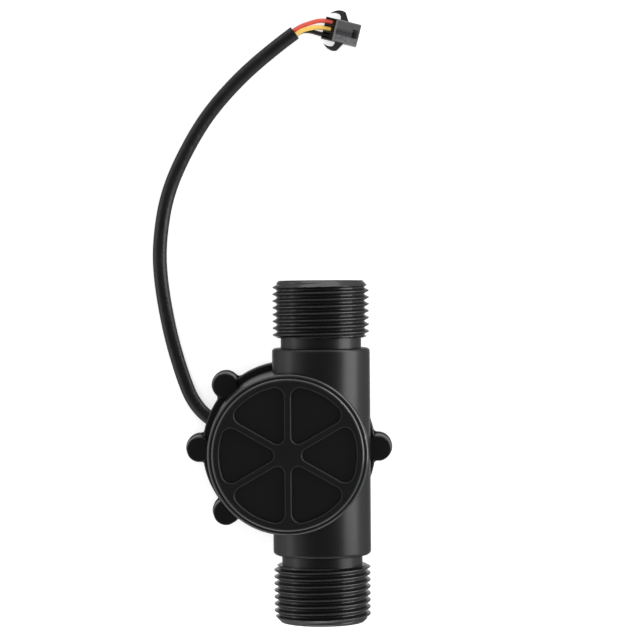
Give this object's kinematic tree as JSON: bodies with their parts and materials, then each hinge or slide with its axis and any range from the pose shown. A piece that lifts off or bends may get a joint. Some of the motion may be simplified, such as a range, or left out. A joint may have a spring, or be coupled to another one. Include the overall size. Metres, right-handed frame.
{
  "type": "water flow sensor",
  "caption": "Black turbine flow sensor with a male thread at each end of a straight pipe, a round rotor chamber beside it, and a short cable with a plug.",
  "frame": {"origin": "rotor axis where it meets the table, in the outer face of the sensor lid", "axes": "+Z along the rotor axis, up through the chamber's front disc; +Y along the pipe, towards the outlet; +X from the rotor axis towards the pipe"},
  "size_m": [0.084, 0.2113, 0.052],
  "materials": {
    "black_nylon": "satin glass-filled nylon moulding",
    "lid_nylon": "fine matt moulding",
    "seal_rubber": "smooth nitrile rubber",
    "screw_steel": "plain stainless steel",
    "board_green": "green solder mask",
    "chip_black": "matt moulding compound",
    "capacitor_tan": "fired chip body",
    "resistor_black": "glazed top",
    "impeller_acetal": "natural acetal",
    "bush_bronze": "sintered bronze",
    "magnet_ferrite": "ground ferrite",
    "shaft_steel": "ground stainless steel",
    "washer_steel": "lapped stainless steel",
    "grommet_rubber": "matt rubber",
    "cable_jacket": "soft glossy PVC",
    "red_insulation": "soft PVC",
    "yellow_insulation": "soft PVC",
    "black_insulation": "soft PVC",
    "plug_nylon": "satin nylon moulding",
    "contact_brass": "tinned brass"
  },
  "bodies": {
    "sensor_body": {"body": "black_nylon", "cover": "black_nylon", "cover_seal": "seal_rubber", "cover_screws": "screw_steel", "sensor_lid": "lid_nylon", "lid_seal": "seal_rubber", "lid_screws": "screw_steel", "hall_board": "board_green", "hall_chip": "chip_black", "board_capacitor": "capacitor_tan", "board_resistor": "resistor_black", "rotor_shaft": "shaft_steel", "back_thrust_washer": "washer_steel", "front_thrust_washer": "washer_steel", "cable_grommet": "grommet_rubber", "red_lead": "red_insulation", "yellow_lead": "yellow_insulation", "black_lead": "black_insulation", "signal_cable": "cable_jacket", "red_wire": "red_insulation", "yellow_wire": "yellow_insulation", "black_wire": "black_insulation", "connector_housing": "plug_nylon", "red_contact": "contact_brass", "yellow_contact": "contact_brass", "black_contact": "contact_brass"},
    "rotor": {"impeller": "impeller_acetal", "rotor_bush": "bush_bronze", "magnet_ring": "magnet_ferrite"}
  },
  "joints": [
    {"name": "impeller_spin", "type": "hinge", "parent": "sensor_body", "child": "rotor", "pos_m": [0, 0, 0.033], "axis": [0, 0, 1], "continuous": true}
  ]
}
